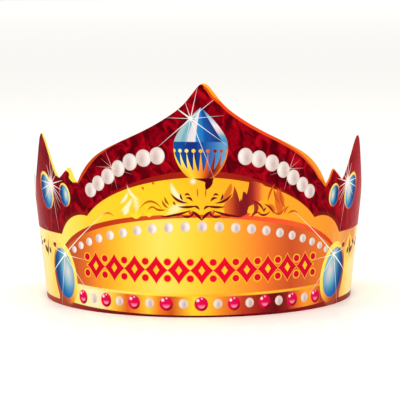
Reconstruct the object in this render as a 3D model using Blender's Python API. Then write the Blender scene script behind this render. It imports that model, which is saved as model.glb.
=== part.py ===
"""Paper crown: one die-cut strip of card, rolled into a ring that flares a little outwards.

The front rises to a tall peak with a small hump and a spike on each side of it. Behind the spikes the
card drops to a low strap. The strap's two ends hook into each other at the back: one end has a slit in
its lower half and the other in its upper half, and each end ducks inside the other one past the slit.

Metres, +Z up, the front of the crown faces -Y. The origin is the middle of its footprint.
"""
import math
from collections import namedtuple

import bmesh
import bpy

# The card
RIM_RADIUS = 0.096
STRIP_LENGTH = 0.640
CARD_THICKNESS = 0.0004
FLARE = math.radians(5.9)

# The strap at the back, and the slits that its ends hook through
STRAP_HEIGHT = 0.044
SLIT_WIDTH = 0.002
LAYER_GAP = 0.0003
SLIT_ARC = math.pi * RIM_RADIUS
LAYER_STEP = CARD_THICKNESS + LAYER_GAP

# The mesh: how far apart the card's upright folds are, and where its rows lie as shares of the height
FRONT_FOLD_STEP = 0.0019
STRAP_FOLD_STEP = 0.0045
SLIT_FOLD_STEP = 0.0005
HALF_GAP_SHARE = 0.5 * LAYER_GAP / STRAP_HEIGHT
ROW_SHARES = (0.0, 0.25, 0.5 - HALF_GAP_SHARE, 0.5 + HALF_GAP_SHARE, 0.75, 1.0)

CARD_RED = (0.36, 0.012, 0.02, 1.0)
CARD_ROUGHNESS = 0.3

# The top edge of the right half, from the middle of the front to the back. arc is the distance along the
# rim and height the distance up the card, both in millimetres. Each slope is the rise per millimetre of
# arc just before and just after the point, so a point with two unlike slopes is a corner.
EdgePoint = namedtuple("EdgePoint", "arc height slope_before slope_after")
TOP_EDGE = (
    EdgePoint(0.0, 138.6, 0.0, 0.0),
    EdgePoint(4.2, 134.9, -1.50, -1.50),
    EdgePoint(8.4, 128.7, -1.38, -1.38),
    EdgePoint(19.3, 118.4, -0.74, -0.74),
    EdgePoint(50.3, 101.0, -0.52, -0.52),
    EdgePoint(65.0, 91.1, -0.95, -0.95),
    EdgePoint(75.6, 77.5, -1.70, 1.20),
    EdgePoint(78.5, 82.3, 2.80, 2.80),
    EdgePoint(80.9, 86.1, 0.0, 0.0),
    EdgePoint(85.4, 83.5, -0.75, -0.75),
    EdgePoint(91.4, 78.8, -0.75, 1.10),
    EdgePoint(96.0, 86.3, 2.20, 2.20),
    EdgePoint(102.3, 101.0, 2.10, 2.10),
    EdgePoint(106.4, 104.8, 0.0, 0.0),
    EdgePoint(111.2, 100.5, -1.80, -1.80),
    EdgePoint(119.5, 85.8, -1.55, -1.55),
    EdgePoint(136.6, 62.5, -1.60, 2.20),
    EdgePoint(142.5, 71.6, 0.95, 0.95),
    EdgePoint(150.8, 75.5, 0.0, 0.0),
    EdgePoint(167.6, 64.5, -1.15, -1.15),
    EdgePoint(196.0, STRAP_HEIGHT * 1000, 0.0, 0.0),
    EdgePoint(STRIP_LENGTH * 500, STRAP_HEIGHT * 1000, 0.0, 0.0),
)
MM = 0.001

# The die sat a little askew on the printed sheet: the points lose this much height for each metre towards
# the right end and gain it towards the left one. The strap, and what stands less than SLANT_FADE above
# it, keeps its height or loses only part of it.
CUT_SLANT = 0.012
SLANT_FADE = 0.025

# The footprint's middle lies this far in front of the ring's own axis, because the tall front flares out
# further than the low strap
AXIS_Y = 0.5 * (TOP_EDGE[0].height * MM - STRAP_HEIGHT) * math.sin(FLARE)


def clear_scene():
    """Removes whatever the file holds."""
    for item in list(bpy.data.objects):
        bpy.data.objects.remove(item, do_unlink=True)


def card_material():
    """Glossy printed card, in the red that covers most of it."""
    material = bpy.data.materials.new("printed_card")
    material.use_nodes = True
    shader = material.node_tree.nodes["Principled BSDF"]
    shader.inputs["Base Color"].default_value = CARD_RED
    shader.inputs["Roughness"].default_value = CARD_ROUGHNESS
    shader.inputs["Metallic"].default_value = 0.0
    return material


def edge_height(arc):
    """Height of the card in metres at a distance along the rim: cubic curves through TOP_EDGE, slanted."""
    reach = min(abs(arc) / MM, TOP_EDGE[-1].arc)
    for start, end in zip(TOP_EDGE, TOP_EDGE[1:]):
        if reach <= end.arc:
            break
    span = end.arc - start.arc
    t = (reach - start.arc) / span
    height = (
        (1 + 2 * t) * (1 - t) ** 2 * start.height
        + t * (1 - t) ** 2 * span * start.slope_after
        + t * t * (3 - 2 * t) * end.height
        - t * t * (1 - t) * span * end.slope_before
    )
    height *= MM
    askew = CUT_SLANT * min(max((height - STRAP_HEIGHT) / SLANT_FADE, 0.0), 1.0)
    return height - askew * arc


def spread(start, end, step):
    """Evenly spaced places from start up to but not at end, no further apart than step."""
    count = max(1, math.ceil((end - start) / step - 1e-6))
    return [start + (end - start) * index / count for index in range(count)]


def fold_arcs():
    """Places along the rim of the card's upright folds, close at the front and closest at the slits."""
    half = []
    for start, end in zip(TOP_EDGE[:-2], TOP_EDGE[1:-1]):
        half += spread(start.arc * MM, end.arc * MM, FRONT_FOLD_STEP)
    slit_start = SLIT_ARC - SLIT_WIDTH / 2
    slit_end = SLIT_ARC + SLIT_WIDTH / 2
    half += spread(TOP_EDGE[-2].arc * MM, slit_start, STRAP_FOLD_STEP)
    half += spread(slit_start, slit_end, SLIT_FOLD_STEP)
    half += spread(slit_end, STRIP_LENGTH / 2, STRAP_FOLD_STEP)
    half.append(STRIP_LENGTH / 2)
    return [-arc for arc in reversed(half[1:])] + half


def in_slit(arc, height):
    """True where the card is cut away: the right end's slit is in its lower half, the left end's above."""
    if abs(abs(arc) - SLIT_ARC) > SLIT_WIDTH / 2:
        return False
    row_gap = LAYER_GAP / 2
    if arc > 0:
        return height < STRAP_HEIGHT / 2 + row_gap
    return height > STRAP_HEIGHT / 2 - row_gap


def flat_blank():
    """The die-cut card laid flat: X along the rim, Z up the card, thickness along Y, slits cut out."""
    arcs = fold_arcs()
    blank = bmesh.new()
    bmesh.ops.create_grid(
        blank, x_segments=len(arcs) - 1, y_segments=len(ROW_SHARES) - 1, size=1.0
    )
    for vertex in blank.verts:
        column = round((vertex.co.x + 1) / 2 * (len(arcs) - 1))
        row = round((vertex.co.y + 1) / 2 * (len(ROW_SHARES) - 1))
        arc = arcs[column]
        vertex.co = (arc, 0.0, ROW_SHARES[row] * edge_height(arc))
    cut_away = []
    for face in blank.faces:
        middle = face.calc_center_median()
        if in_slit(middle.x, middle.z):
            cut_away.append(face)
    bmesh.ops.delete(blank, geom=cut_away, context="FACES")
    bmesh.ops.recalc_face_normals(blank, faces=blank.faces)
    bmesh.ops.solidify(blank, geom=blank.faces[:], thickness=CARD_THICKNESS)
    return blank


def centre_thickness(blank):
    """Puts the card's middle, and not one of its faces, on Y = 0."""
    middle = sum(vertex.co.y for vertex in blank.verts) / len(blank.verts)
    for vertex in blank.verts:
        vertex.co.y = math.copysign(CARD_THICKNESS / 2, vertex.co.y - middle)


def duck_inside(arc):
    """How far the card has moved inwards: nothing before the slit and one layer past it."""
    t = (abs(arc) - SLIT_ARC) / SLIT_WIDTH + 0.5
    return LAYER_STEP * min(max(t, 0.0), 1.0)


def roll_up(blank):
    """Rolls the flat card round the ring's axis, with its rows leaning outwards by the flare.

    The card's thickness stays level, so that the rim stands flat on a table.
    """
    for vertex in blank.verts:
        arc, inwards, height = vertex.co
        angle = arc / RIM_RADIUS
        radius = RIM_RADIUS + height * math.sin(FLARE) - duck_inside(arc) - inwards
        vertex.co = (
            radius * math.sin(angle),
            AXIS_Y - radius * math.cos(angle),
            height * math.cos(FLARE),
        )
    bmesh.ops.recalc_face_normals(blank, faces=blank.faces)


def make_crown_card(collection):
    """The crown's only piece."""
    blank = flat_blank()
    centre_thickness(blank)
    roll_up(blank)
    mesh = bpy.data.meshes.new("crown_card")
    blank.to_mesh(mesh)
    blank.free()
    mesh.materials.append(card_material())
    mesh.shade_smooth()
    mesh.set_sharp_from_angle(angle=math.radians(40))
    collection.objects.link(bpy.data.objects.new("crown_card", mesh))


def main():
    clear_scene()
    collection = bpy.data.collections.new("paper_crown")
    bpy.context.scene.collection.children.link(collection)
    make_crown_card(collection)


main()
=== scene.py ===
"""Paper crown: the printed card strip, hooked into a ring, on a plain white table.

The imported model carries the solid. This script gives the card its print, its white back and its cut edges.
"""
import math
from collections import namedtuple

import bpy
import numpy as np
from mathutils import Euler, Matrix


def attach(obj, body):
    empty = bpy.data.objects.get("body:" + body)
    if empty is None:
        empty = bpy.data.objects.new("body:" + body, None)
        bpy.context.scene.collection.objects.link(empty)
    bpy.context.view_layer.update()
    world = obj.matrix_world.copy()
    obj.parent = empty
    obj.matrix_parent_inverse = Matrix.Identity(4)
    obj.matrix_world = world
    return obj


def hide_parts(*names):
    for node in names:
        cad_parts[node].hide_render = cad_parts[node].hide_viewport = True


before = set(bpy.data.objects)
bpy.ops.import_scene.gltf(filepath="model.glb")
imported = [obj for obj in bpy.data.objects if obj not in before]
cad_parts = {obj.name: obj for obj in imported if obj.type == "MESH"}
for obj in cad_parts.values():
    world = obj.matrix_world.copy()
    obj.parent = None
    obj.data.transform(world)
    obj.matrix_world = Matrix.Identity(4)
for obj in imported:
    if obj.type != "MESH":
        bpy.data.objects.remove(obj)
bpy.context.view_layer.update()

# THE CARD
# One strip of glossy printed card, 0.4 mm thick, die-cut with a tall peak, two humps and two spikes at the
# front. It is rolled into a ring that flares outwards, and its two ends hook through half-height slits at
# the back.

RIM_RADIUS = 0.096
STRIP_LENGTH = 0.640
CARD_THICKNESS = 0.0004
FLARE = math.radians(5.9)
STRAP_HEIGHT = 0.044
SLIT_WIDTH = 0.002
LAYER_GAP = 0.0003
SLIT_ARC = math.pi * RIM_RADIUS
MM = 0.001

# The top edge of the right half: distance along the rim and height up the card, in millimetres, and the
# edge's slope just before and just after the point
EdgePoint = namedtuple("EdgePoint", "arc height slope_before slope_after")
TOP_EDGE = [EdgePoint(*row) for row in (
    (0.0, 138.6, 0.0, 0.0),
    (4.2, 134.9, -1.50, -1.50),
    (8.4, 128.7, -1.38, -1.38),
    (19.3, 118.4, -0.74, -0.74),
    (50.3, 101.0, -0.52, -0.52),
    (65.0, 91.1, -0.95, -0.95),
    (75.6, 77.5, -1.70, 1.20),
    (78.5, 82.3, 2.80, 2.80),
    (80.9, 86.1, 0.0, 0.0),
    (85.4, 83.5, -0.75, -0.75),
    (91.4, 78.8, -0.75, 1.10),
    (96.0, 86.3, 2.20, 2.20),
    (102.3, 101.0, 2.10, 2.10),
    (106.4, 104.8, 0.0, 0.0),
    (111.2, 100.5, -1.80, -1.80),
    (119.5, 85.8, -1.55, -1.55),
    (136.6, 62.5, -1.60, 2.20),
    (142.5, 71.6, 0.95, 0.95),
    (150.8, 75.5, 0.0, 0.0),
    (167.6, 64.5, -1.15, -1.15),
    (196.0, STRAP_HEIGHT / MM, 0.0, 0.0),
    (STRIP_LENGTH / 2 / MM, STRAP_HEIGHT / MM, 0.0, 0.0),
)]

# The die sat a little askew: the points lose this much height for each metre towards the right end and
# gain it towards the left one. The strap keeps its height, and so, in part, does what stands less than
# SLANT_FADE above it.
CUT_SLANT = 0.012
SLANT_FADE = 0.025

# The footprint's middle lies in front of the ring's own axis, because the tall front flares out further
AXIS_Y = 0.5 * (TOP_EDGE[0].height * MM - STRAP_HEIGHT) * math.sin(FLARE)

# The mesh: the steps between upright folds, and the rows, first as shares of the height below EDGE_ZONE
# and then as depths under the cut edge
FRONT_STEP = 0.0008
STRAP_STEP = 0.003
SLIT_STEP = 0.0005
ROUNDING = 1e-6
EDGE_ZONE = 0.0065
SLIT_ROW_SHARES = tuple(
    (0.5 * STRAP_HEIGHT + side * 0.5 * LAYER_GAP) / (STRAP_HEIGHT - EDGE_ZONE) for side in (-1, 1)
)
LOWER_ROW_SHARES = (0.0, 0.08, 0.16, 0.24, 0.32, 0.40, 0.48, 0.54) + SLIT_ROW_SHARES + (
    0.64, 0.70, 0.76, 0.82, 0.88, 0.94)
EDGE_ROW_DEPTHS = (EDGE_ZONE, 0.0055, 0.0045, 0.0036, 0.0028, 0.0021, 0.0015, 0.0010, 0.0005, 0.0)


def edge_height(arc):
    """Height of the cut edge at each arc: cubic curves through TOP_EDGE, less CUT_SLANT times the arc."""
    knots = np.array(TOP_EDGE)
    knots[:, :2] *= MM
    reach = np.minimum(np.abs(arc), knots[-1, 0])
    index = np.clip(np.searchsorted(knots[:, 0], reach, side="left") - 1, 0, len(knots) - 2)
    start, end = knots[index], knots[index + 1]
    span = end[:, 0] - start[:, 0]
    t = (reach - start[:, 0]) / span
    height = (
        (1 + 2 * t) * (1 - t) ** 2 * start[:, 1]
        + t * (1 - t) ** 2 * span * start[:, 3]
        + t * t * (3 - 2 * t) * end[:, 1]
        - t * t * (1 - t) * span * end[:, 2]
    )
    askew = CUT_SLANT * np.clip((height - STRAP_HEIGHT) / SLANT_FADE, 0.0, 1.0)
    return height - askew * arc


def fold_arcs():
    """Places of the upright folds: even steps between the edge's points, closest at the slits."""
    half = [0.0]
    stops = [(point.arc * MM, FRONT_STEP) for point in TOP_EDGE[1:-1]]
    stops += [
        (SLIT_ARC - SLIT_WIDTH / 2, STRAP_STEP),
        (SLIT_ARC + SLIT_WIDTH / 2, SLIT_STEP),
        (STRIP_LENGTH / 2, STRAP_STEP),
    ]
    for stop, step in stops:
        count = max(1, math.ceil((stop - half[-1]) / step - ROUNDING))
        half += list(np.linspace(half[-1], stop, count + 1)[1:])
    half = np.array(half)
    return np.concatenate([-half[:0:-1], half])


def rolled(arc, height, inwards):
    """The card rolled up: angle = arc / rim radius, radius = rim radius + height * sin(flare) - inwards.

    Past the slit each end ducks inside the other by one layer.
    """
    duck = np.clip((np.abs(arc) - SLIT_ARC) / SLIT_WIDTH + 0.5, 0.0, 1.0)
    angle = arc / RIM_RADIUS
    radius = RIM_RADIUS + height * math.sin(FLARE) - inwards - duck * (CARD_THICKNESS + LAYER_GAP)
    return np.stack(
        [radius * np.sin(angle), AXIS_Y - radius * np.cos(angle), height * math.cos(FLARE)], axis=-1
    )


def add_object(name, data):
    """Puts a mesh, a lamp or a camera into the scene."""
    added = bpy.data.objects.new(name, data)
    bpy.context.scene.collection.objects.link(added)
    return added


arcs = fold_arcs()
edge_heights = edge_height(arcs)
lower = np.outer(edge_heights - EDGE_ZONE, LOWER_ROW_SHARES)
upper = edge_heights[:, None] - np.array(EDGE_ROW_DEPTHS)
card_height = np.concatenate([lower, upper], axis=1)
columns, rows = card_height.shape
flat_arc = np.repeat(arcs, rows)
flat_height = card_height.ravel()

corner = np.arange(columns * rows).reshape(columns, rows)
cells = np.stack([corner[:-1, :-1], corner[1:, :-1], corner[1:, 1:], corner[:-1, 1:]], axis=-1)
middle_arc = flat_arc[cells].mean(axis=-1)
middle_height = flat_height[cells].mean(axis=-1)
in_slit_column = np.abs(np.abs(middle_arc) - SLIT_ARC) < SLIT_WIDTH / 2
right_slit = in_slit_column & (middle_arc > 0) & (middle_height < 0.5 * (STRAP_HEIGHT + LAYER_GAP))
left_slit = in_slit_column & (middle_arc < 0) & (middle_height > 0.5 * (STRAP_HEIGHT - LAYER_GAP))
outer = cells[~(right_slit | left_slit)]

# Edges that only one cell uses are cut edges: each gets a wall from the outer face to the inner one
starts = outer.ravel()
ends = np.roll(outer, -1, axis=1).ravel()
grid_size = columns * rows
is_cut = ~np.isin(starts * grid_size + ends, ends * grid_size + starts)
walls = np.stack(
    [ends[is_cut], starts[is_cut], starts[is_cut] + grid_size, ends[is_cut] + grid_size], axis=1
)
inner = outer[:, ::-1] + grid_size
faces = np.concatenate([outer, inner, walls])

points = np.concatenate([
    rolled(flat_arc, flat_height, side * CARD_THICKNESS / 2) for side in (-1, 1)
])
used = np.zeros(len(points), dtype=bool)
used[faces] = True
renumber = np.cumsum(used) - 1
card_mesh = bpy.data.meshes.new("printed_crown")
card_mesh.from_pydata(points[used].tolist(), [], renumber[faces].tolist())
card = add_object("printed_crown", card_mesh)
card_mesh.shade_smooth()
card_mesh.set_sharp_from_angle(angle=math.radians(40))

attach(card, "root")
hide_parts("crown_card")

# The print's own flat coordinates, in metres. Its middle lies PRINT_SHIFT to the left of the cut's. Towards
# the right it is drawn together by PRINT_SQUEEZE and sinks by PRINT_SLANT, both as shares for each metre.
PRINT_SHIFT = 0.0011
PRINT_SQUEEZE = 0.09
PRINT_SLANT = 0.15
across = (flat_arc + PRINT_SHIFT) * (1 + flat_height * math.sin(FLARE) / RIM_RADIUS)
print_x = across * (1 + PRINT_SQUEEZE * across)
print_y = flat_height * (1 + PRINT_SLANT * across)

corner_of_loop = faces.ravel() % grid_size
print_map = card_mesh.uv_layers.new(name="print")
print_map.data.foreach_set(
    "uv", np.stack([print_x[corner_of_loop], print_y[corner_of_loop]], axis=1).astype(np.float32).ravel()
)

# A second map lays the strip out for painting it flat: the front across the whole sheet, above it the two
# back stretches at a smaller scale, then the white back, and the cut edges as a thin line at the top
FRONT_REACH = 0.1366
FRONT_SCALE = 3.6
STRETCH_SCALE = 2.6
BACK_SCALE = 1.5
LEFT_START, RIGHT_START = 0.01, 0.51
FRONT_FOOT, STRETCH_FOOT, BACK_FOOT = 0.01, 0.53, 0.75
WALL_FOOT, WALL_TOP = 0.985, 0.99
OUTER, INNER, WALL = 0, 1, 2

face_kind = np.repeat([OUTER, INNER, WALL], [len(outer), len(inner), len(walls)])
face_arc = flat_arc[faces % grid_size].mean(axis=1)
loop_kind = np.repeat(face_kind, 4)
loop_front = np.repeat(np.abs(face_arc) < FRONT_REACH, 4)
loop_arc = flat_arc[corner_of_loop]
loop_height = flat_height[corner_of_loop]
stretch_u = np.where(
    loop_arc < 0,
    LEFT_START + (loop_arc + STRIP_LENGTH / 2) * STRETCH_SCALE,
    RIGHT_START + (loop_arc - FRONT_REACH) * STRETCH_SCALE,
)
sheet_u = np.select(
    [loop_kind != OUTER, loop_front], [0.5 + loop_arc * BACK_SCALE, 0.5 + loop_arc * FRONT_SCALE], stretch_u
)
wall_v = np.tile([WALL_FOOT, WALL_FOOT, WALL_TOP, WALL_TOP], len(faces))
back_v = BACK_FOOT + loop_height * BACK_SCALE
front_v = FRONT_FOOT + loop_height * FRONT_SCALE
stretch_v = STRETCH_FOOT + loop_height * STRETCH_SCALE
sheet_v = np.select(
    [loop_kind == WALL, loop_kind == INNER, loop_front], [wall_v, back_v, front_v], stretch_v
)
sheet_map = card_mesh.uv_layers.new(name="OFBake")
sheet_map.data.foreach_set("uv", np.stack([sheet_u, sheet_v], axis=1).astype(np.float32).ravel())
card_mesh.uv_layers.active = print_map
card_mesh.polygons.foreach_set("material_index", (face_kind != OUTER).astype(np.int32))


# THE PRINTED RIM
# The print makes the card look thick: a gold band and a red one run just inside the cut edge. But for the
# left hump's top, slopes that face left have at most the red one, dark on the spike. The widths change
# along the edge, so what the mesh keeps is how far each point lies inside the bands.

# Place along the rim, then the widths of the gold band and of the red one under it, in millimetres
RIM_BANDS = (
    (-132.0, 0.0, 0.0), (-124.0, 0.0, 3.0), (-112.0, 0.0, 2.2), (-106.6, 0.0, 0.9),
    (-105.6, 1.6, 0.0), (-104.0, 2.1, 0.0), (-93.6, 2.3, 0.0), (-91.6, 0.0, 0.0), (-84.6, 0.0, 0.0),
    (-83.0, 3.6, 0.0), (-79.6, 5.4, 0.0), (-77.4, 4.4, 0.0), (-75.8, 0.0, 0.6), (-74.4, 0.0, 1.8),
    (-70.0, 0.0, 2.2), (-63.0, 0.0, 1.7), (-55.0, 0.0, 1.0), (-47.0, 0.0, 0.4), (-43.0, 0.0, 0.0),
    (-1.5, 0.0, 0.0), (0.5, 1.4, 1.4), (6.0, 1.7, 1.5), (9.5, 0.0, 1.8), (40.0, 0.0, 1.8),
    (52.0, 1.1, 1.4), (63.0, 2.5, 1.2), (71.5, 2.6, 1.2), (74.5, 0.8, 1.6), (76.0, 0.0, 1.7),
    (80.5, 0.0, 1.6), (83.0, 0.0, 0.7), (90.0, 0.0, 0.5), (92.0, 0.0, 0.0),
)


def depth_and_place(x, y, reach=0.2, step=0.0004, chunk=4096):
    """Distance from each point to the nearest of many points along the cut edge, and that point's arc."""
    edge_arcs = np.arange(-reach, reach, step)
    heights = edge_height(edge_arcs)
    edge_x = edge_arcs * (1 + heights * math.sin(FLARE) / RIM_RADIUS)
    depth = np.empty(len(x))
    place = np.empty(len(x))
    for first in range(0, len(x), chunk):
        part = slice(first, first + chunk)
        gap = np.hypot(x[part, None] - edge_x, y[part, None] - heights)
        nearest = gap.argmin(axis=1)
        depth[part] = gap.min(axis=1)
        place[part] = edge_arcs[nearest]
    return depth, place


depth, place = depth_and_place(flat_arc * (1 + flat_height * math.sin(FLARE) / RIM_RADIUS), flat_height)
band_arc, band_gold, band_red = np.array(RIM_BANDS).T
inside_gold = np.interp(place / MM, band_arc, band_gold) - depth / MM
inside_red = inside_gold + np.interp(place / MM, band_arc, band_red)
for name, inside in (("gold_rim", inside_gold), ("red_rim", inside_red)):
    attribute = card_mesh.attributes.new(name, "FLOAT", "POINT")
    attribute.data.foreach_set("value", np.tile(inside, 2)[used].astype(np.float32))


# PRINTING INKS
# The front is printed in four colours under a thin gloss. Each motif is drawn from its place on the flat
# sheet, in millimetres, and laid over what is printed before it.

def set_sockets(node, sockets):
    """Gives each named socket of a node its value, or links it to another node's output."""
    for key, value in sockets.items():
        if isinstance(value, Wire):
            node.id_data.links.new(value.socket, node.inputs[key])
        else:
            node.inputs[key].default_value = value


class Wire:
    """The output of a shader node. Arithmetic on it adds Math nodes to the same material."""

    def __init__(self, tree, socket=None):
        self.tree = tree
        self.socket = socket

    def node(self, kind, settings=None, sockets=None, output=0):
        """Adds a node: its settings first, then the values or links of its sockets; wraps one output."""
        node = self.tree.nodes.new(kind)
        for name, value in (settings or {}).items():
            if name == "stops":
                ramp = node.color_ramp.elements
                while len(ramp) < len(value):
                    ramp.new(0.5)
                for element, (position, *levels) in zip(ramp, value):
                    element.position = position
                    element.color = ink(*levels)
            elif name in ("profile", "corners"):
                curve = node.mapping.curves[0]
                while len(curve.points) < len(value):
                    curve.points.new(0.5, 0.5)
                for point, place in zip(curve.points, value):
                    point.location = place
                    point.handle_type = "AUTO" if name == "profile" else "VECTOR"
                node.mapping.update()
            else:
                setattr(node, name, value)
        set_sockets(node, sockets or {})
        return Wire(self.tree, node.outputs[output])

    def maths(self, operation, *values, clamp=False):
        settings = {"operation": operation, "use_clamp": clamp}
        return self.node("ShaderNodeMath", settings, dict(enumerate(values)))

    def __add__(self, other):
        return self.maths("ADD", self, other)

    __radd__ = __add__

    def __sub__(self, other):
        return self.maths("SUBTRACT", self, other)

    def __rsub__(self, other):
        return self.maths("SUBTRACT", other, self)

    def __mul__(self, other):
        return self.maths("MULTIPLY", self, other)

    __rmul__ = __mul__

    def __truediv__(self, other):
        return self.maths("DIVIDE", self, other)

    def __pow__(self, other):
        return self.maths("POWER", self, other)

    def __abs__(self):
        return self.maths("ABSOLUTE", self)

    def least(self, other):
        return self.maths("MINIMUM", self, other)

    def most(self, other):
        return self.maths("MAXIMUM", self, other)

    def times_plus(self, factor, term, clamp=False):
        return self.maths("MULTIPLY_ADD", self, factor, term, clamp=clamp)

    def share(self, low, high):
        """0 up to the low value, 1 from the high one on, and even in between."""
        return self.times_plus(1.0 / (high - low), -low / (high - low), clamp=True)

    def edge(self, softness=0.3):
        """0 outside and 1 inside of where the value passes 0, over a soft step."""
        return self.times_plus(1.0 / softness, 0.5, clamp=True)

    def past_nearest(self):
        """How far the value lies past the nearest whole number."""
        return self - self.maths("ROUND", self)

    def over(self, mask, laid):
        """The colour with another one laid over it where the mask is 1.

        A Mix node for colours takes its factor and colours at sockets 0, 6 and 7 and gives output 2.
        """
        settings = {"data_type": "RGBA"}
        return self.node("ShaderNodeMix", settings, {0: mask, 6: self, 7: laid}, output=2)

    def along(self, *stops):
        """A colour ramp through stops of a value and an ink's red, green and blue."""
        low, high = stops[0][0], stops[-1][0]
        ramp = [((value - low) / (high - low), *levels) for value, *levels in stops]
        return self.node("ShaderNodeValToRGB", {"stops": ramp}, {0: self.share(low, high)})


def distance(across, up):
    """Straight distance from the middle of a motif."""
    return (across * across + up * up) ** 0.5


def ink(red, green, blue):
    """A printed colour, given as a screen shows it (0 to 255), in the linear light that shaders use."""
    channels = []
    for level in (red, green, blue):
        value = level / 255
        channels.append(value / 12.92 if value <= 0.04045 else ((value + 0.055) / 1.055) ** 2.4)
    return (*channels, 1.0)


layers = []


def print_layer(draw):
    """Makes a motif a node group, which takes the colour so far and the place x, y on the sheet."""
    group = bpy.data.node_groups.new(draw.__name__, "ShaderNodeTree")
    for label, kind in (("Colour", "Color"), ("x", "Float"), ("y", "Float")):
        group.interface.new_socket(label, in_out="INPUT", socket_type="NodeSocket" + kind)
    group.interface.new_socket("Colour", in_out="OUTPUT", socket_type="NodeSocketColor")
    entry = group.nodes.new("NodeGroupInput")
    leave = group.nodes.new("NodeGroupOutput")
    printed = draw(*(Wire(group, socket) for socket in entry.outputs[:3]))
    group.links.new(printed.socket, leave.inputs[0])
    layers.append(group)
    return draw


def place_on_sheet(x, y):
    """x, y and 1 as one vector."""
    return x.node("ShaderNodeCombineXYZ", None, {0: x, 1: y, 2: 1.0})


def line_value(place, a, b, c):
    """a x + b y + c, as one dot product."""
    product = {"operation": "DOT_PRODUCT"}
    return place.node("ShaderNodeVectorMath", product, {0: place, 1: (a, b, c)}, output=1)


# THE VELVET
# The crown's red part is printed as crushed velvet: crimson and maroon clouds a few millimetres across,
# drawn out a little along the nap, and nearly plain at the sides.

@print_layer
def velvet(colour, x, y):
    nap = x.node("ShaderNodeCombineXYZ", None, {0: x + 0.3 * y, 1: y * 0.7})
    clouds = x.node(
        "ShaderNodeTexNoise",
        {"noise_dimensions": "2D"},
        {"Vector": nap, "Scale": 0.18, "Detail": 3.0, "Roughness": 0.55, "Distortion": 0.6},
    )
    # The pile is a little lighter towards the right
    pile = x.node(
        "ShaderNodeValToRGB",
        {"stops": [
            (0.34, 84, 0, 10), (0.44, 100, 0, 13), (0.51, 132, 0, 17), (0.58, 152, 2, 20),
            (0.69, 176, 6, 26),
        ]},
        {0: x.times_plus(0.0004, clouds)},
    )
    plain = x.along(
        (-140, 172, 20, 34), (-126, 164, 14, 32), (-114, 146, 8, 28), (-98, 144, 6, 24),
        (98, 158, 8, 26), (114, 166, 12, 32), (126, 178, 16, 38), (140, 186, 20, 40),
    )
    return pile.over(abs(x).times_plus(0.018, -1.4, clamp=True) * 0.8, plain)


# THE GOLD ARCH
# A gold arch rises from a lobe on each side, over a thin brick-red shadow, and stands on the pale gold band
# that goes on round the sides. Where the band turns away round the sides, a paler stretch is painted into it
# as a painted sheen.

# A closed curve round x, y. Power 2 makes it an oval, more than 2 squarer, 1 a lozenge, and less than 1 a
# lozenge with hollow sides.
Curve = namedtuple("Curve", "x y half_width half_height power")
ARCH = Curve(0.4, 44.8, 78.9, 38.95, 1.87)
LOBE = Curve(78.4, 32.5, 23.3, 25.6, 2.0)
LOBES_X = 1.8
SHADOW_TOP = 87.6
SHADOW_REACH = 58
BAND_TOP = 45.2
BAND_START = 106


def curve_gap(across, up, curve):
    """How far inside a curve: (1 - ((across/half_width)^p + (up/half_height)^p)^(1/p)) * half_height."""
    total = (across / curve.half_width) ** curve.power + (up / curve.half_height) ** curve.power
    return (1 - total ** (1 / curve.power)) * curve.half_height


@print_layer
def arch(colour, x, y):
    side = abs(x)
    arch_gap = curve_gap(abs(x - ARCH.x), (y - ARCH.y).most(0), ARCH)
    lobe_gap = curve_gap(abs(abs(x - LOBES_X) - LOBE.x), abs(y - LOBE.y), LOBE)
    shadow_gap = (side * side).times_plus(-0.0049, SHADOW_TOP) - y
    shadow = shadow_gap.edge(0.6) * (SHADOW_REACH - side).edge(8)
    colour = colour.over(shadow, x.along(
        (-60, 140, 16, 18), (0, 166, 38, 20), (60, 136, 22, 22),
    ))
    lobe_shadow = (lobe_gap + 2.2).edge(2.0) * 0.6
    colour = colour.over(lobe_shadow, ink(132, 34, 24))
    band_gap = x.times_plus(0.0066, BAND_TOP) - y
    gold = ((y - 66).most(0) * 0.8 + x).along(
        (-104, 252, 228, 120), (-92, 254, 230, 106), (-72, 250, 210, 58), (-50, 250, 206, 42),
        (-30, 252, 208, 40), (-12, 255, 206, 40), (6, 252, 190, 38), (35, 252, 174, 38),
        (62, 248, 164, 44), (90, 245, 150, 52), (104, 244, 170, 84),
    )
    # The band grows paler from about 118 mm out, palest near 138 mm, then turns back to gold: this paler
    # stretch is a painted sheen.
    band_and_sheen = side.along(
        (106, 252, 212, 112), (112, 253, 220, 120), (118, 254, 230, 142), (126, 254, 233, 162),
        (138, 248, 228, 180), (152, 250, 226, 158), (178, 250, 218, 130),
    )
    orange = (x - 100).edge() * (131 - x).edge(9) * (y - 31).edge(13)
    band_and_sheen = band_and_sheen.over(orange, ink(232, 148, 80))
    gold = gold.over((side - BAND_START).edge(9), band_and_sheen)
    return colour.over(arch_gap.most(lobe_gap).most(band_gap).edge(), gold)


# THE PLATE
# The lower front is a gold plate with an arched top in an orange-red frame. Its fill runs from a pale
# middle to orange-brown ends.

FRAME = Curve(0.0, 14.0, 104.5, 47.8, 2.3)
PLATE = Curve(0.0, 24.5, 100.0, 35.4, 1.92)


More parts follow.
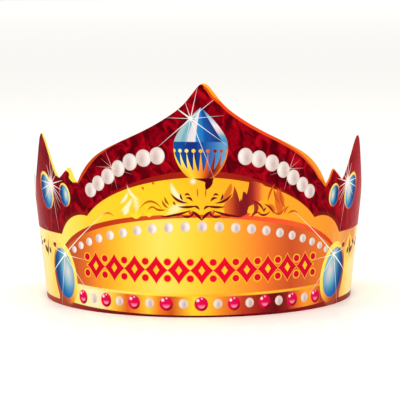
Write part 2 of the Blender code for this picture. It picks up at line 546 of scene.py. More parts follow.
@print_layer
def plate(colour, x, y):
    side = abs(x)
    frame_gap = curve_gap(side, (y - FRAME.y).most(0), FRAME)
    plate_gap = curve_gap(side, (y - PLATE.y).most(0), PLATE)
    colour = colour.over(frame_gap.edge(), x.along(
        (-90, 178, 62, 40), (-60, 188, 52, 24), (-42, 202, 68, 30), (-20, 220, 82, 40),
        (10, 234, 80, 42), (40, 248, 88, 50), (62, 242, 92, 46), (88, 212, 64, 38),
    ))
    fill = x.along(
        (-100, 200, 98, 48), (-84, 200, 88, 40), (-74, 222, 112, 44), (-66, 243, 146, 46),
        (-56, 252, 178, 44), (-46, 255, 204, 56), (-35, 253, 218, 78), (-24, 252, 228, 102),
        (-12, 254, 222, 78), (2, 254, 204, 54), (16, 254, 178, 48), (28, 249, 150, 48),
        (40, 236, 118, 46), (48, 218, 100, 44), (56, 204, 84, 42), (66, 215, 100, 48),
        (80, 230, 120, 46), (100, 220, 112, 48),
    )
    return colour.over(plate_gap.edge(), fill)


# THE SCROLL ON THE ARCH
# An engraved acanthus scroll spreads from the middle of the arch and hangs a little over the frame: dark
# maroon strokes near the middle, orange ones further out, pale leaves on the left and, on the right, a
# brown shade with flame-shaped gaps.

INK_GAIN = 0.2


def strokes_mask(place, strokes, softness=0.3):
    """1 inside any of the strokes. Each is a row of start x and y, end x and y, bulge and half width.

    A stroke is a bow from its start to its end: with t from -1 to 1 along it, its middle line rises by
    bulge * (1 - t^2) and its half width is half_width * (1 - t^2), plus INK_GAIN, by which the ink spreads.
    """
    outside = None
    for start_x, start_y, end_x, end_y, bulge, half_width in strokes:
        run_x, run_y = (end_x - start_x) / 2, (end_y - start_y) / 2
        half = math.hypot(run_x, run_y)
        unit_x, unit_y = run_x / half, run_y / half
        mid_x, mid_y = (start_x + end_x) / 2, (start_y + end_y) / 2
        t = line_value(place, unit_x / half, unit_y / half, -(mid_x * unit_x + mid_y * unit_y) / half)
        rise = line_value(place, -unit_y, unit_x, mid_x * unit_y - mid_y * unit_x)
        bow = t.times_plus(t, -1.0)
        gap = bow.times_plus(half_width, abs(bow.times_plus(bulge, rise)))
        outside = gap if outside is None else outside.least(gap)
    return (INK_GAIN - outside).edge(softness)


MAROON_STROKES = (
    (0.0, 58.5, 5.5, 63.8, 0.4, 0.7), (1.3, 64.8, 4.8, 66.6, 0.7, 0.5),
    (3.2, 66.9, 13.0, 66.3, -0.4, 0.55), (6.8, 64.1, 23.2, 60.2, -0.7, 0.6),
    (4.8, 63.2, 6.8, 60.5, -0.4, 0.4), (5.6, 61.1, 11.0, 60.9, -0.7, 0.5),
    (6.8, 73.2, 9.8, 73.2, 0.7, 0.45), (5.3, 69.8, 9.0, 71.6, 0.8, 0.55),
    (8.4, 68.6, 17.5, 73.6, -1.2, 0.6), (11.0, 70.3, 12.3, 73.8, -0.3, 0.4),
)
LEFT_LINES = (
    (-36.1, 65.0, -23.8, 65.7, 3.7, 0.5), (-31.4, 64.0, -26.4, 64.9, 1.3, 0.4),
    (-28.4, 65.8, -21.4, 64.3, -0.9, 0.45), (-61.4, 59.2, -53.8, 59.5, 1.5, 0.4),
    (-21.4, 71.6, -19.2, 67.7, -0.4, 0.4), (-22.9, 69.6, -19.8, 65.6, -0.5, 0.4),
    (-16.4, 69.2, -15.3, 67.4, 0.0, 0.4), (-35.2, 77.4, -34.0, 75.8, 0.2, 0.5),
    (-28.8, 80.2, -27.6, 79.2, 0.1, 0.4),
)
RIGHT_DARK_LINES = (
    (29.6, 69.6, 37.4, 63.0, 1.4, 0.5), (36.9, 63.2, 38.5, 65.2, -0.2, 0.4),
    (29.6, 60.3, 34.4, 62.6, 0.9, 0.5), (33.0, 63.2, 41.4, 62.8, -2.2, 0.5),
    (38.2, 67.2, 43.6, 61.9, 0.7, 0.5),
)
RIGHT_LINES = (
    (42.6, 63.2, 51.4, 65.4, -3.2, 0.6), (43.8, 78.6, 39.9, 69.6, -0.5, 0.5),
    (43.8, 75.8, 47.4, 67.6, -0.6, 0.6), (48.3, 75.6, 51.4, 65.2, -1.4, 0.6),
    (53.9, 65.4, 51.2, 61.2, -0.7, 0.4), (53.6, 61.0, 60.4, 61.2, 1.2, 0.45),
)
PALE_LEAVES = (
    (-17.7, 79.6, -10.8, 69.8, -1.1, 1.2), (-43.9, 76.6, -38.0, 70.2, -0.9, 0.6),
    (-44.0, 73.4, -48.2, 67.4, 0.5, 0.7), (-41.6, 69.8, -47.8, 62.8, 0.8, 1.0),
    (-43.6, 65.6, -46.4, 60.4, 0.0, 1.4),
)
SOFT_LIGHTS = (
    (-19.6, 61.8, -10.4, 67.2, 0.6, 2.1), (-40.2, 71.8, -38.4, 63.2, 0.6, 1.2),
)
GOLD_OVER_FRAME = (
    (-42.6, 61.2, -35.2, 61.4, -1.4, 1.3), (-33.0, 61.8, -28.6, 61.6, -0.8, 1.0),
    (-26.4, 64.0, -8.6, 65.2, -2.8, 1.5), (10.4, 64.8, 27.0, 63.6, -2.6, 1.5),
    (32.0, 61.6, 42.0, 61.8, -0.8, 1.1),
)
RED_OVER_GOLD = (
    (-3.6, 60.0, -7.6, 63.6, 0.0, 1.1), (3.6, 60.0, 7.6, 63.6, 0.0, 1.1),
    (24.2, 60.4, 29.4, 62.2, 0.4, 0.9),
)
ORANGE_LEAVES = (
    (12.0, 70.4, 17.2, 80.2, -1.0, 1.5), (46.4, 76.4, 47.4, 60.6, 0.8, 3.0),
    (40.6, 67.4, 44.6, 62.0, 0.6, 1.0),
)

# The brown shade from left to right: place across, then the heights of its upper and lower edges
SHADE = (
    (12.0, 66.0, 65.4), (13.6, 68.8, 62.4), (16.4, 71.0, 61.0), (18.0, 72.6, 60.6),
    (19.2, 78.6, 60.3), (20.9, 74.4, 60.2), (22.4, 69.2, 60.2), (23.0, 71.4, 60.3),
    (23.5, 69.8, 60.4), (24.3, 75.2, 60.7), (25.8, 74.8, 61.2), (26.6, 73.6, 62.0),
    (27.6, 77.4, 65.6), (28.2, 82.0, 66.4), (31.4, 81.2, 67.6), (34.0, 80.4, 69.0),
    (39.0, 78.6, 70.6),
)
SHADE_SCALE = 100
FADE_IN, FADE_OUT = 12.6, 37.0

# The gold eye of the right-hand curl
EYE_X, EYE_Y, EYE_RADIUS = 28.9, 63.6, 1.7


def line_through(value, spots, kind, scale):
    """Height of a line through spots of a value and a height: a "profile" is smooth, "corners" aren't."""
    low, high = spots[0][0], spots[-1][0]
    points = [((place - low) / (high - low), height / scale) for place, height in spots]
    return value.node("ShaderNodeFloatCurve", {kind: points}, {1: value.share(low, high)}) * scale


@print_layer
def scroll(colour, x, y):
    here = place_on_sheet(x, y)
    mirrored = place_on_sheet(abs(x), y)
    gold = x.along((-45, 255, 224, 60), (0, 255, 206, 44), (45, 252, 172, 40))
    colour = colour.over(strokes_mask(here, GOLD_OVER_FRAME), gold)
    colour = colour.over(strokes_mask(here, RED_OVER_GOLD), ink(222, 76, 40))
    colour = colour.over(strokes_mask(here, SOFT_LIGHTS, 2.4) * 0.7, ink(255, 246, 190))
    colour = colour.over(strokes_mask(here, PALE_LEAVES, 1.2) * 0.85, ink(255, 250, 210))
    colour = colour.over(strokes_mask(here, ORANGE_LEAVES, 0.8) * 0.85, ink(214, 92, 36))
    upper = line_through(x, [(place, high) for place, high, low in SHADE], "corners", SHADE_SCALE)
    lower = line_through(x, [(place, low) for place, high, low in SHADE], "corners", SHADE_SCALE)
    shade_gap = (upper - y).least(y - lower)
    fade = (x - FADE_IN).edge(1.6) * (FADE_OUT - x).edge(2.4)
    shade = x.along(
        (12, 236, 140, 40), (14, 226, 116, 36), (17, 202, 82, 38), (20, 156, 42, 30),
        (23, 124, 26, 32), (27, 126, 26, 32), (29.5, 152, 38, 34), (31, 170, 52, 42),
        (32.5, 202, 76, 46), (34, 216, 96, 48), (36, 242, 146, 52),
    )
    colour = colour.over(shade_gap.edge(0.4) * fade, shade)
    curl = strokes_mask(here, [(29.4, 70.2, 29.8, 60.2, 3.0, 1.2)])
    colour = colour.over(curl, ink(160, 46, 36))
    eye = (EYE_RADIUS - distance(x - EYE_X, y - EYE_Y)).edge()
    colour = colour.over(eye, gold)
    left_ink = x.along((-40, 226, 124, 24), (-16, 140, 50, 12))
    colour = colour.over(strokes_mask(here, LEFT_LINES), left_ink)
    colour = colour.over(strokes_mask(here, RIGHT_LINES), ink(206, 82, 28))
    colour = colour.over(strokes_mask(here, RIGHT_DARK_LINES), ink(140, 24, 26))
    nerve = strokes_mask(mirrored, [(2.2, 72.6, 2.5, 77.0, 0.0, 0.3)])
    colour = colour.over(nerve, ink(196, 122, 30))
    return colour.over(strokes_mask(mirrored, MAROON_STROKES), ink(108, 8, 22))


# THE SCROLL ON THE BAND
# A smaller gold scroll with dark veins is printed on the band, beside each big stone. The right-hand one is
# a mirror image of the left-hand one.

BAND_GOLD = (
    (115.6, 24.0, 118.2, 42.8, 3.4, 2.0), (118.0, 42.4, 122.6, 25.6, 3.0, 1.4),
    (110.2, 34.0, 111.6, 8.0, 0.0, 1.3),
)
BAND_VEINS = (
    (117.6, 39.0, 119.2, 28.4, 0.3, 0.7), (125.4, 34.2, 118.4, 30.6, 0.0, 1.4),
    (116.0, 34.4, 113.8, 30.8, 0.2, 1.2), (123.6, 37.8, 128.6, 35.6, 0.2, 1.0),
    (131.0, 36.0, 136.0, 33.4, 0.2, 1.2), (136.6, 38.6, 139.8, 35.6, 0.2, 1.0),
)


@print_layer
def band_scroll(colour, x, y):
    mirrored = place_on_sheet(abs(x), y)
    colour = colour.over(strokes_mask(mirrored, BAND_GOLD, 1.4) * 0.95, ink(252, 216, 88))
    dot = strokes_mask(mirrored, [(104.9, 38.0, 109.4, 37.5, -0.9, 1.3)])
    colour = colour.over(dot, ink(158, 36, 22))
    return colour.over(strokes_mask(mirrored, BAND_VEINS, 0.5), ink(92, 24, 28))


# THE ROW OF RUBIES AND PEARLS
# Under the plate, rubies and pearls take turns on a strip that passes through the colours of polished
# metal, above a dark maroon line at the rim.

STRIP_REACH = 98
STRIP_TOP = 12.9
PALE_LINE_REACH = 94
RIM_LINE_TOP = 1.1
RUBY_PITCH = 19.2
RUBY_HEIGHT = 8.1
PEARL_HEIGHT = 8.2
JEWEL_REACH = 82


def pearl(base, across, up, half_width, half_height, shade_place):
    """A round pearl over the base: pale, with a soft upright shade band and a thin darker rim."""
    reach_x = across / half_width
    reach_y = up / half_height
    reach = distance(reach_x, reach_y)
    body = distance(reach_x - shade_place, reach_y * 0.5 + 0.12).along(
        (0.0, 200, 176, 172), (0.35, 219, 201, 196), (0.75, 242, 232, 228), (1.2, 253, 250, 247),
    )
    body = body.over((reach - 0.8).edge(0.35) * 0.4, ink(196, 172, 160))
    return base.over(((1 - reach) * half_width).edge(0.25), body)


def ruby(base, across, up, half_width, half_height):
    """A cut ruby over the base: a glint at its upper left, a pale facet low down, and a dark lower rim."""
    reach_x = across / half_width
    reach_y = up / half_height
    reach = distance(reach_x, reach_y)
    stone = (reach_x * 0.5 - reach_y * 0.7).along(
        (-0.9, 242, 66, 124), (-0.55, 226, 16, 84), (0.3, 222, 10, 70), (0.6, 190, 4, 54),
        (0.75, 138, 0, 38), (1.0, 118, 0, 32),
    )
    facet = (-0.12 - reach_y).least(0.56 - distance(reach_x - 0.03, reach_y + 0.02)).edge(0.14)
    stone = stone.over(facet, reach_y.along((-0.55, 252, 170, 190), (-0.15, 232, 80, 124)))
    glint = (0.2 - distance(reach_x + 0.5, reach_y - 0.5)).edge(0.12)
    tiny_glint = (0.11 - distance(reach_x - 0.05, reach_y - 0.76)).edge(0.12)
    stone = stone.over(glint.most(tiny_glint * 0.8), ink(255, 240, 244))
    return base.over(((1 - reach) * half_width).edge(0.3), stone)


@print_layer
def jewelled_strip(colour, x, y):
    side = abs(x)
    strip_top = (side * side).times_plus(0.00022, STRIP_TOP)
    strip = x.along(
        (-95, 255, 224, 100), (-84, 252, 235, 128), (-70, 254, 245, 200), (-64, 254, 238, 186),
        (-59, 254, 220, 110), (-54, 254, 198, 58), (-45, 224, 98, 36), (-39, 240, 150, 40),
        (-32, 254, 208, 60), (-25, 240, 128, 40), (-18, 204, 84, 28), (-11, 242, 164, 46),
        (-5, 254, 220, 46), (4, 254, 196, 44), (12, 242, 140, 44), (24, 198, 66, 36),
        (36, 148, 32, 28), (46, 104, 18, 24), (54, 150, 38, 32), (62, 240, 120, 42),
        (68, 254, 166, 50), (74, 250, 150, 50), (82, 190, 66, 40), (95, 165, 52, 44),
    )
    colour = colour.over((strip_top - y).edge() * (STRIP_REACH - side).edge(), strip)
    pale_line = (0.75 - abs(y - strip_top - 0.4)).edge(0.6) * (PALE_LINE_REACH - side).edge()
    colour = colour.over(pale_line, x.along(
        (-90, 255, 244, 190), (-62, 254, 228, 128), (-30, 255, 228, 74), (-6, 254, 204, 56),
        (10, 254, 172, 50), (22, 252, 180, 50), (34, 253, 206, 52), (60, 250, 182, 52),
        (90, 246, 150, 58),
    ))
    # Whole numbers are rubies. On the left half they sit a little further out than even steps put them.
    left = (0 - x).most(0)
    count = x / RUBY_PITCH + left * left.times_plus(-5.35e-5, 0.0051) + 0.01
    row = ruby(colour, count.past_nearest() * RUBY_PITCH, y - RUBY_HEIGHT, 3.85, 4.3)
    row = pearl(row, (count + 0.5).past_nearest() * RUBY_PITCH, y - PEARL_HEIGHT, 2.6, 2.95, 0.2)
    colour = colour.over((JEWEL_REACH - side).edge(), row)
    rim_line_top = (side * side).times_plus(0.0003, RIM_LINE_TOP).least(3.4)
    return colour.over((rim_line_top - y).edge(), x.along(
        (-100, 168, 64, 52), (-60, 124, 26, 24), (0, 84, 4, 8), (60, 130, 20, 22),
        (100, 150, 48, 42),
    ))


# THE SMALL PEARLS
# Twenty-one pearls follow the plate's arched top, smaller and closer towards its ends. They are flat print,
# shaded to look round.

PEARLS_X = 0.35
PEARLS_TOP = 54.6
PEARL_PITCH = 9.88
LAST_PEARL = 10


@print_layer
def small_pearls(colour, x, y):
    """Pearl n from the middle lies n * (PEARL_PITCH - 0.0133 n^2) out and 0.205 n^2 - 0.00023 n^4 down."""
    x = x - PEARLS_X
    side = abs(x)
    count = (side * side).times_plus(1.9e-6 * side, side / PEARL_PITCH)
    count = count.maths("ROUND", count).least(LAST_PEARL)
    squared = count * count
    across = (side - count * (PEARL_PITCH - 0.0133 * squared)) * x.maths("SIGN", x)
    up = y - PEARLS_TOP + squared * squared.times_plus(-0.00023, 0.205)
    shade_place = x.times_plus(0.03, -0.2).most(-0.55).least(0.22)
    half_width, half_height = 2.75 - 0.006 * squared, 3.1 - 0.01 * squared
    return pearl(colour, across, up, half_width, half_height, shade_place)


# THE FRIEZE
# A bold crimson ornament fills the middle of the plate: lozenges with hollow sides and a gold heart, and
# between them round pellets in pairs, all in a thin gold outline.

FRIEZE_Y = 28.3
FRIEZE_PITCH = 13.4
LAST_LOZENGE_END = 5.5 * FRIEZE_PITCH
LOZENGE = Curve(0.0, FRIEZE_Y, 6.9, 8.4, 0.86)
HEART = Curve(0.0, FRIEZE_Y, 1.9, 2.8, 1.0)
PELLET_RISE = 4.9
PELLET_RADIUS = 2.1
OUTLINE = 0.6


@print_layer
def frieze(colour, x, y):
    across = abs((x / FRIEZE_PITCH).past_nearest()) * FRIEZE_PITCH
    up = abs(y - FRIEZE_Y)
    lozenge = curve_gap(across, up, LOZENGE).least(LAST_LOZENGE_END - abs(x))
    pellet = PELLET_RADIUS - distance(FRIEZE_PITCH / 2 - across, up - PELLET_RISE)
    gap = lozenge.most(pellet)
    inside = (LAST_LOZENGE_END + PELLET_RADIUS + OUTLINE - abs(x)).edge()
    gold_line = ink(255, 204, 44)
    colour = colour.over((gap + OUTLINE).edge() * inside, gold_line)
    colour = colour.over(gap.edge() * inside, x.along(
        (-80, 208, 10, 42), (0, 234, 14, 44), (80, 204, 16, 46),
    ))
    return colour.over(curve_gap(across, up, HEART).edge() * inside, gold_line)


# THE BIG PEARLS
# Seven big pearls overlap in a row on each side of the peak, larger towards the middle. Each is printed
# over the last one.

# Place across and up the sheet, half width and half height
BIG_PEARLS = (
    (69.7, 73.7, 4.2, 4.3), (63.9, 78.1, 4.35, 4.5), (57.0, 82.7, 4.45, 4.67),
    (50.0, 87.6, 4.25, 4.87), (42.4, 91.8, 4.45, 4.95), (34.0, 94.4, 4.65, 5.05),
    (25.8, 96.0, 4.5, 5.05),
)


@print_layer
def big_pearls(colour, x, y):
    side = abs(x)
    for place_x, place_y, half_width, half_height in BIG_PEARLS:
        colour = pearl(colour, side - place_x, y - place_y, half_width, half_height, 0.25)
    return colour


# THE GREAT SAPPHIRE
# An egg-shaped cut stone stands in a gold cup with nine prongs, under the peak. Its facets fan out from the
# tip down to the girdle, and a paler crescent runs down its right side.

EGG_X = -0.4
GIRDLE = 104.6

# The stone's half width at each height, from its foot to its tip
EGG = (
    (83.2, 6.2), (84.3, 7.9), (86.0, 9.7), (88.5, 11.7), (92.0, 13.7), (96.5, 15.2), (100.5, 15.7),
    (104.6, 15.4), (108.3, 14.0), (112.5, 11.4), (116.0, 8.7), (119.0, 6.0), (121.6, 3.3),
    (124.8, 0.0),
)
EGG_FOOT, EGG_TIP = EGG[0][0], EGG[-1][0]
EGG_SCALE = 16
CRESCENT_SLOPE = 0.605
CUP_FOOT = 87.2
CUP_TOP = 98.6
PRONG_BALL_Y = 99.3
PRONG_BALL_RADIUS = 1.1
FOOT_GOLD_TOP = 91.5


def egg_stone(across, y, turn):
    """The stone's colours: facets that fan out from its tip, and bands below the girdle."""
    facets = turn.along(
        (-1.0, 168, 192, 194), (-0.80, 156, 192, 198), (-0.70, 112, 170, 194),
        (-0.54, 136, 184, 202), (-0.49, 222, 216, 222), (-0.22, 232, 226, 230),
        (-0.18, 50, 136, 200), (0.10, 30, 114, 190), (0.16, 22, 86, 166), (0.45, 32, 72, 146),
        (0.8, 22, 46, 112),
    )
    slope_gap = across - (EGG_TIP - y) * CRESCENT_SLOPE - 0.3
    crescent = y.along(
        (104, 52, 140, 196), (108, 96, 164, 194), (111, 226, 206, 208), (114, 238, 228, 230),
        (118, 176, 200, 220), (124, 30, 110, 190),
    )
    below = turn.along(
        (-1.0, 14, 86, 160), (-0.66, 18, 70, 152), (-0.5, 20, 52, 130), (-0.2, 22, 48, 124),
        (-0.1, 22, 66, 148), (0.0, 26, 72, 150), (0.18, 36, 88, 158), (0.47, 58, 116, 182),
        (0.73, 84, 148, 196), (0.9, 112, 160, 196), (1.0, 96, 150, 190),
    )
    stone = facets.over(slope_gap.edge(), crescent)
    return stone.over((GIRDLE - y).edge(0.4), below)


@print_layer
def egg(colour, x, y):
    here = place_on_sheet(x, y)
    half_width = line_through(y, EGG, "profile", EGG_SCALE)
    across = x - EGG_X
    turn = across / half_width.most(0.5)
    mask = (half_width - abs(across)).edge() * (y - EGG_FOOT).edge() * (EGG_TIP - y).edge()
    stone = egg_stone(across, y, turn)
    gold = turn.along(
        (-1.0, 255, 218, 40), (-0.74, 255, 242, 150), (-0.5, 255, 232, 110), (-0.2, 255, 208, 44),
        (0.05, 252, 172, 36), (0.25, 232, 108, 30), (0.42, 184, 58, 20), (0.52, 124, 18, 14),
        (0.66, 160, 50, 24), (0.85, 200, 92, 36), (1.0, 240, 152, 46),
    )
    foot_gold = turn.along(
        (-1.0, 246, 176, 40), (-0.6, 254, 208, 60), (-0.3, 252, 184, 42), (0.04, 240, 138, 36),
        (0.25, 214, 90, 32), (0.45, 174, 54, 32), (0.65, 120, 22, 30), (0.85, 164, 58, 30),
        (1.0, 232, 140, 40),
    )
    gold = gold.over((FOOT_GOLD_TOP - y).edge(7), foot_gold)
    prong_turn = (turn * (turn * turn).times_plus(0.35, 3.72)).past_nearest()
    valley = (across * across).times_plus(0.026, CUP_FOOT)
    rise = (1 - abs(prong_turn) * 2).most(0) ** 1.8
    cup_gap = valley + (CUP_TOP - valley) * rise - y
    ball_gap = PRONG_BALL_RADIUS - distance(prong_turn * 4.0, y - PRONG_BALL_Y)
    stone = stone.over(cup_gap.most(ball_gap).edge(0.35), gold)
    wedge = strokes_mask(here, (
        (-5.0, 83.4, 3.0, 81.0, 0.9, 0.9),
        (2.6, 76.6, 6.2, 84.0, 0.2, 1.8),
        (0.0, 83.0, 7.0, 83.0, -0.6, 1.8),
    ))
    colour = colour.over(wedge, ink(84, 6, 14))
    colour = colour.over(mask, stone)
    # A soft glint on the foot of the cup
    glow = (1 - distance((x + 4.9) / 2.3, (y - 81.4) / 2.3)).most(0)
    return colour.over(glow, ink(255, 252, 224))


# THE OVAL SAPPHIRES
# Three smooth oval stones on each side, in gold rims: a large one at the plate's end, and two on the spike
# and beside it. Each is deep blue with a soft pale spot, and its rim is thick and yellow on the inner side.

Oval = namedtuple("Oval", "x y half_width half_height lean")
Setting = namedtuple("Setting", "stone rim dark_from shadow")
OVALS = (
    Setting(Oval(97.0, 20.7, 10.6, 15.4, 0.18), Oval(95.6, 21.0, 11.8, 18.8, 0.18), 0.4, 0.2),
    Setting(Oval(115.0, 69.6, 8.0, 10.3, 0.21), Oval(114.8, 70.3, 9.2, 11.3, 0.21), 0.12, 0.06),
    Setting(Oval(93.0, 69.0, 4.4, 6.3, 0.16), Oval(92.7, 69.4, 5.3, 7.0, 0.16), 0.1, 0.06),
)

# The right half isn't an exact mirror image: its stones stand a little higher, and the large one is wider
# and a little further in
RIGHT_RISE = 0.00007
RIGHT_STRETCH = 0.086
RIGHT_SHIFT = 9.5


def oval_reach(place, oval):
    """Places measured from an oval's middle, as shares of its half width and half height: out and up."""
    out = line_value(place, 1 / oval.half_width, -oval.lean / oval.half_width,
                     (oval.lean * oval.y - oval.x) / oval.half_width)
    return out, line_value(place, 0, 1 / oval.half_height, -oval.y / oval.half_height)


@print_layer
def oval_sapphires(colour, x, y):
    side = abs(x)
    tilted = y - x * y * RIGHT_RISE
    on_right = x.maths("GREATER_THAN", x, 0.0)
    great = place_on_sheet(side - on_right * side.times_plus(RIGHT_STRETCH, -RIGHT_SHIFT), tilted)
    others = place_on_sheet(side, tilted)
    for mirrored, setting in zip((great, others, others), OVALS):
        out, up = oval_reach(mirrored, setting.rim)
        rim = (out * 0.8 - up * 0.6).along(
            (-1.2, 255, 240, 110), (-0.4, 255, 226, 84), (0.15, 244, 166, 66), (0.6, 204, 96, 48),
            (1.2, 158, 46, 40),
        )
        shadow_gap = 1 - distance(out - setting.shadow, up + 0.7 * setting.shadow)
        colour = colour.over((shadow_gap * setting.rim.half_width).edge(0.8), ink(170, 76, 56))
        colour = colour.over(((1 - distance(out, up)) * setting.rim.half_width).edge(), rim)
        out, up = oval_reach(mirrored, setting.stone)
        from_spot = distance(out * 0.95 + 0.42, up * 0.8 - 0.08)
        stone = from_spot.along(
            (0.0, 226, 218, 214), (0.2, 194, 206, 210), (0.5, 116, 176, 204), (0.85, 52, 132, 186),
            (1.2, 24, 96, 162),
        )
        stone = stone.over((out - setting.dark_from).edge(0.7) * 0.85, ink(14, 56, 122))
        blue_foot = ((-0.4 - up).most(0) * 1.3).least(0.7)
        stone = stone.over(blue_foot, ink(20, 100, 180))
        colour = colour.over(((1 - distance(out, up)) * setting.stone.half_width).edge(), stone)
    return colour


# THE SPARKLES
# White star sparkles are printed on five stones and two pearls: fine straight rays that thin out from a
# bright heart.

STAR_GAIN = 1.6
Star = namedtuple("Star", "x y heart rays")


def star_mask(place, star):
    """1 inside a star: a round heart and straight rays. A ray is a row of its tip's x and y and strength.

    With left from 1 at the heart to 0 at the tip, a ray's mask is strength * (0.3 + 0.7 * left) less
    3 * distance off it. The star as a whole is STAR_GAIN times that bright.
    """
    inside = star.heart - distance(line_value(place, 1, 0, -star.x), line_value(place, 0, 1, -star.y))
    for tip_x, tip_y, strength in star.rays:
        length = math.hypot(tip_x - star.x, tip_y - star.y)
        unit_x, unit_y = (tip_x - star.x) / length, (tip_y - star.y) / length
        heart_run = star.x * unit_x + star.y * unit_y
        left = line_value(place, -unit_x / length, -unit_y / length, 1 + heart_run / length)
        off = line_value(place, -unit_y, unit_x, star.x * unit_y - star.y * unit_x)
        fade = left.times_plus(0.7 * strength, abs(off).times_plus(-3, 0.3 * strength))
        inside = inside.most(fade.least(left * length).least(left.times_plus(-length, length)))
    return inside.times_plus(STAR_GAIN, 0.0, clamp=True)


MAIN_STAR = Star(-6.2, 118.1, 1.5, (
    (-27.4, 99.3, 1.1), (13.4, 134.6, 1.0), (-15.4, 124.8, 1.9), (14.6, 102.8, 1.2),
    (-2.0, 137.6, 1.1), (-10.2, 130.6, 1.0), (-22.4, 118.4, 0.9), (12.8, 120.1, 0.9),
    (7.4, 83.0, 1.0), (-9.4, 102.6, 0.8),
))
GEM_STAR = Star(94.8, 32.2, 1.7, (
    (57.4, 62.4, 1.4), (112.4, 18.8, 2.0), (73.8, 31.0, 1.1), (69.0, 7.6, 1.2), (102.4, -2.0, 1.2),
    (112.0, 35.4, 1.3), (94.4, 46.4, 0.9), (87.0, 39.0, 0.8), (97.4, 39.4, 1.0), (99.8, 38.2, 1.0),
    (102.4, 37.2, 0.9), (126.0, 50.0, 0.8),
))
SPIKE_STAR = Star(107.8, 75.6, 1.9, (
    (95.0, 78.6, 1.6), (96.4, 72.8, 1.6), (97.6, 64.6, 1.4), (101.4, 58.4, 0.7), (99.6, 40.0, 0.8),
    (112.6, 40.0, 0.4), (98.2, 61.0, 1.1), (95.6, 67.6, 1.2), (103.4, 54.0, 0.7),
    (117.6, 66.4, 1.9), (122.6, 71.0, 1.8), (122.6, 76.4, 1.8), (118.4, 81.4, 1.9),
    (112.8, 87.0, 1.6), (108.6, 95.0, 1.3), (104.4, 89.0, 1.3), (100.6, 83.0, 1.3),
))
SPIKE_GLOW = Oval(108.4, 74.375, 4.0, 6.25, 0.0)
PEARL_STAR = Star(54.2, 88.0, 1.1, (
    (58.4, 98.0, 0.9), (61.8, 93.2, 0.8), (65.0, 88.0, 0.9), (41.0, 84.6, 0.9), (50.8, 75.6, 0.9),
    (54.4, 76.0, 0.6), (49.0, 95.0, 0.6),
))


@print_layer
def stars(colour, x, y):
    mirrored = place_on_sheet(abs(x), y)
    colour = colour.over(star_mask(mirrored, PEARL_STAR) * 0.7, ink(250, 222, 214))
    # The spikes' stars stand a little further right, and higher on the right half
    moved = place_on_sheet(abs(x - 0.6), x.times_plus(-0.0126, y))
    glow = (1 - distance(*oval_reach(moved, SPIKE_GLOW))).most(0)
    colour = colour.over((glow * 1.5).least(0.85), ink(240, 232, 226))
    colour = colour.over(star_mask(moved, SPIKE_STAR), ink(252, 242, 238))
    colour = colour.over(star_mask(mirrored, GEM_STAR), ink(255, 252, 236))
    return colour.over(star_mask(place_on_sheet(x, y), MAIN_STAR), ink(255, 248, 246))


# THE RIM BANDS AND THE GLOSS
# The two rim bands go over all motifs. The card has a thin gloss that shows only where the eye meets it at
# a low angle.

@print_layer
def rim_bands(colour, x, y):
    red_rim = x.node("ShaderNodeAttribute", {"attribute_name": "red_rim"}, output=2)
    gold_rim = x.node("ShaderNodeAttribute", {"attribute_name": "gold_rim"}, output=2)
    colour = colour.over(red_rim.edge(), x.along(
        (-112, 116, 22, 30), (-100, 196, 68, 22), (-20, 196, 68, 22), (10, 236, 72, 26),
        (70, 228, 84, 36), (84, 232, 112, 36),
    ))
    return colour.over(gold_rim.edge(), x.along(
        (-100, 240, 224, 96), (-70, 250, 222, 56), (-10, 250, 210, 50), (10, 255, 156, 26),
        (60, 244, 150, 44),
    ))


CARD_GLOSS = 0.008
print_material = bpy.data.materials.new("printed_card_face")
print_material.use_nodes = True
flat_map = Wire(print_material.node_tree).node("ShaderNodeUVMap", {"uv_map": "print"})
sheet_x = flat_map.node("ShaderNodeSeparateXYZ", None, {0: flat_map}, output="X") * (1 / MM)
sheet_y = flat_map.node("ShaderNodeSeparateXYZ", None, {0: flat_map}, output="Y") * (1 / MM)
colour = (1.0, 1.0, 1.0, 1.0)
for group in layers:
    colour = sheet_x.node("ShaderNodeGroup", {"node_tree": group}, {0: colour, 1: sheet_x, 2: sheet_y})

shader = print_material.node_tree.nodes["Principled BSDF"]
set_sockets(shader, {"Base Color": colour, "Roughness": 0.28, "Specular IOR Level": CARD_GLOSS})

back_material = bpy.data.materials.new("white_card_back")
back_material.use_nodes = True
back = Wire(back_material.node_tree)
on_card = back.node("ShaderNodeTexCoord", output="Object")
fibres = back.node("ShaderNodeTexNoise", None, {"Vector": on_card, "Scale": 900.0, "Detail": 3.0})
tone = fibres.along((0.3, 236, 233, 226), (0.7, 246, 244, 239))
bump = fibres.node("ShaderNodeBump", None, {"Strength": 0.15, "Distance": 0.0002, "Height": fibres})
shader = back_material.node_tree.nodes["Principled BSDF"]
set_sockets(shader, {"Base Color": tone, "Roughness": 0.75, "Specular IOR Level": 0.25, "Normal": bump})

card_mesh.materials.append(print_material)
card_mesh.materials.append(back_material)


# THE TABLE
# A plain white table, wide enough to fill the view behind the crown. Its top is polished just enough to
# show a faint mirror image of the rim, and shines a little of its own so that it stays white.

TABLE_HALF = 60.0
floor_mesh = bpy.data.meshes.new("table")
table_corners = [(x * TABLE_HALF, y * TABLE_HALF, 0.0) for x, y in ((-1, -1), (1, -1), (1, 1), (-1, 1))]
floor_mesh.from_pydata(table_corners, [], [(0, 1, 2, 3)])
floor = add_object("table", floor_mesh)
floor_material = bpy.data.materials.new("white_table")
floor_material.use_nodes = True
set_sockets(floor_material.node_tree.nodes["Principled BSDF"], {
    "Base Color": ink(252, 250, 246),
    "Roughness": 0.02,
    "IOR": 1.035,
    "Emission Color": (1.0, 1.0, 1.0, 1.0),
    "Emission Strength": 0.06,
})
floor_mesh.materials.append(floor_material)


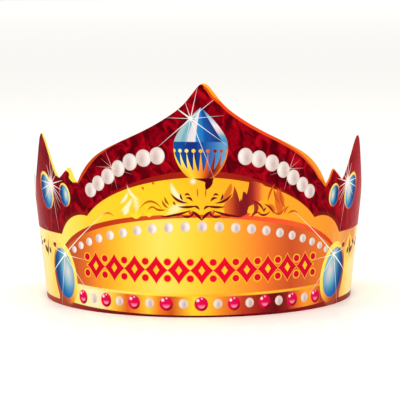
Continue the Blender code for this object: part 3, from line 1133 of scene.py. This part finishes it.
# THE LIGHT
# Plain soft light from all round, as in a white tent, with a broad lamp overhead. The lamp leaves no glint
# on the card or the table.

world = bpy.data.worlds.new("white_tent")
bpy.context.scene.world = world
world.use_nodes = True
set_sockets(world.node_tree.nodes["Background"], {"Color": (1.0, 0.985, 0.96, 1.0), "Strength": 0.95})
lamp = bpy.data.lights.new("overhead_lamp", "AREA")
lamp.shape = "DISK"
lamp.size = 2.0
lamp.energy = 16.0
lamp_holder = add_object("overhead_lamp", lamp)
lamp_holder.location = (-0.2, -0.5, 2.0)
lamp_holder.rotation_euler = (math.radians(12), 0, 0)
lamp_holder.visible_glossy = False


# THE CAMERA
# A long lens a little above the table, looking slightly down at the ring from just left of its middle. Its
# distance, turn and length, and the middle of its view in pixels, were fitted to the crown in the photo.

AIM = (0.0, AXIS_Y, 0.06)
CAMERA_DISTANCE = 1.2
CAMERA_DOWN = math.radians(6.146)
CAMERA_TURN = math.radians(1.7)
CAMERA_ROLL = math.radians(-0.293)
PIXELS = 400
FOCAL_PIXELS = 1894.3
PRINCIPAL = (198.33, 198.23)

camera = bpy.data.cameras.new("camera")
camera.sensor_width = 36.0
camera.lens = FOCAL_PIXELS * camera.sensor_width / PIXELS
camera.shift_x = (PIXELS / 2 - PRINCIPAL[0]) / PIXELS
camera.shift_y = (PRINCIPAL[1] - PIXELS / 2) / PIXELS
camera.clip_end = 200.0
camera_holder = add_object("camera", camera)
level = CAMERA_DISTANCE * math.cos(CAMERA_DOWN)
camera_holder.location = (
    AIM[0] - level * math.sin(CAMERA_TURN),
    AIM[1] - level * math.cos(CAMERA_TURN),
    AIM[2] + CAMERA_DISTANCE * math.sin(CAMERA_DOWN),
)
level_view = Euler((math.pi / 2 - CAMERA_DOWN, 0.0, -CAMERA_TURN)).to_matrix()
camera_holder.rotation_euler = (level_view @ Matrix.Rotation(CAMERA_ROLL, 3, "Z")).to_euler()
bpy.context.scene.camera = camera_holder

# The print's bright inks are shown as they are, without a film-like curve
bpy.context.scene.view_settings.view_transform = "Standard"
